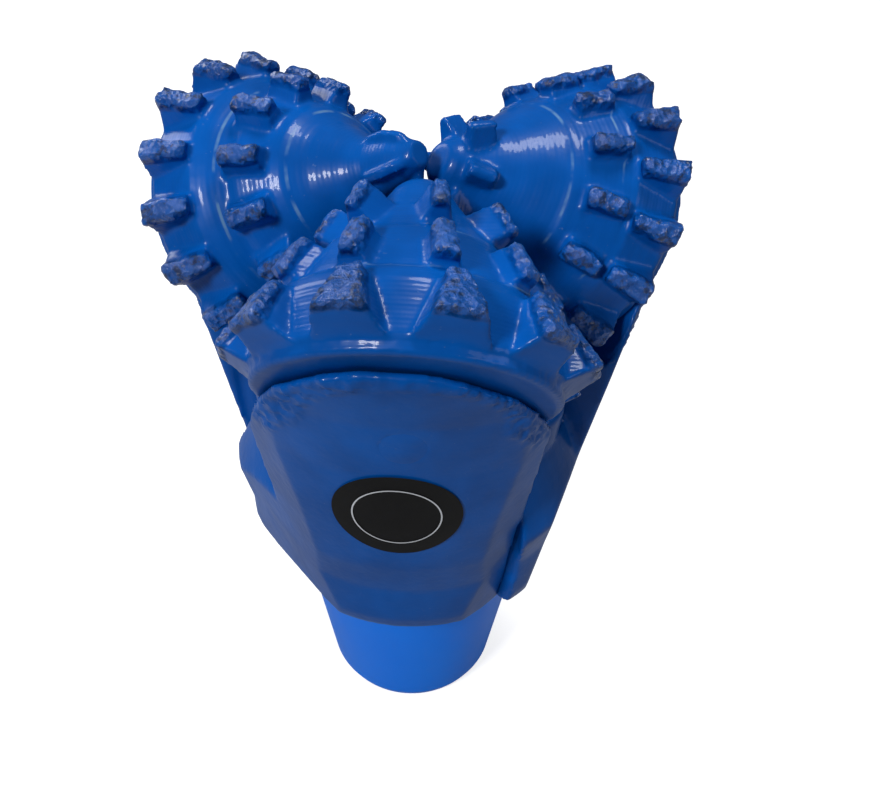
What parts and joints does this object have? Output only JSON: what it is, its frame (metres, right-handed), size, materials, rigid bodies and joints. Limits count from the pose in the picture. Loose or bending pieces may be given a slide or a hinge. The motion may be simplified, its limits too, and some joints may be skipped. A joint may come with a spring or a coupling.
{
  "type": "tricone drill bit",
  "caption": "Rotary drill bit with milled-tooth rolling cones on legs, jet nozzles between them and a tapered threaded pin in a moulded protector.",
  "frame": {"origin": "centre of the thread protector's flat bottom face, on the bit's axis", "axes": "+Z along the bit's axis from the pin towards the cones; leg A and cone A face -Y"},
  "size_m": [0.2167, 0.2095, 0.3287],
  "materials": {
    "body_paint": "gloss paint over forged steel",
    "cone_paint": "gloss paint over milled and hardfaced steel",
    "plug": "welded and painted over",
    "bearing_steel": "ground",
    "bushing": "turned",
    "button": "lapped",
    "nozzle": "sintered, ground",
    "seal": "moulded",
    "retainer": "spring steel",
    "protector": "moulded"
  },
  "bodies": {
    "bit_body": {"leg_a": "body_paint", "ball_plug_a": "plug", "rollers_a": "bearing_steel", "balls_a": "bearing_steel", "nozzle_a": "nozzle", "nozzle_o_ring_a": "seal", "nozzle_retainer_a": "retainer", "leg_b": "body_paint", "ball_plug_b": "plug", "rollers_b": "bearing_steel", "balls_b": "bearing_steel", "nozzle_b": "nozzle", "nozzle_o_ring_b": "seal", "nozzle_retainer_b": "retainer", "leg_c": "body_paint", "ball_plug_c": "plug", "rollers_c": "bearing_steel", "balls_c": "bearing_steel", "nozzle_c": "nozzle", "nozzle_o_ring_c": "seal", "nozzle_retainer_c": "retainer"},
    "cone_a_body": {"cone_a": "cone_paint", "nose_bushing_a": "bushing", "thrust_button_a": "button"},
    "cone_b_body": {"cone_b": "cone_paint", "nose_bushing_b": "bushing", "thrust_button_b": "button"},
    "cone_c_body": {"cone_c": "cone_paint", "nose_bushing_c": "bushing", "thrust_button_c": "button"},
    "protector_body": {"thread_protector": "protector"}
  },
  "joints": [
    {"name": "cone_a_spin", "type": "hinge", "parent": "bit_body", "child": "cone_a_body", "pos_m": [-0.00461, -0.067, 0.27258], "axis": [-0.0949, -0.8333, -0.5446], "continuous": true},
    {"name": "cone_b_spin", "type": "hinge", "parent": "bit_body", "child": "cone_b_body", "pos_m": [-0.05572, 0.0375, 0.27258], "axis": [-0.6742, 0.4989, -0.5446], "continuous": true},
    {"name": "cone_c_spin", "type": "hinge", "parent": "bit_body", "child": "cone_c_body", "pos_m": [0.06033, 0.0295, 0.27258], "axis": [0.7691, 0.3344, -0.5446], "continuous": true},
    {"name": "protector_pull", "type": "slide", "parent": "bit_body", "child": "protector_body", "axis": [0, 0, -1], "range_m": [0, 0.115]}
  ]
}
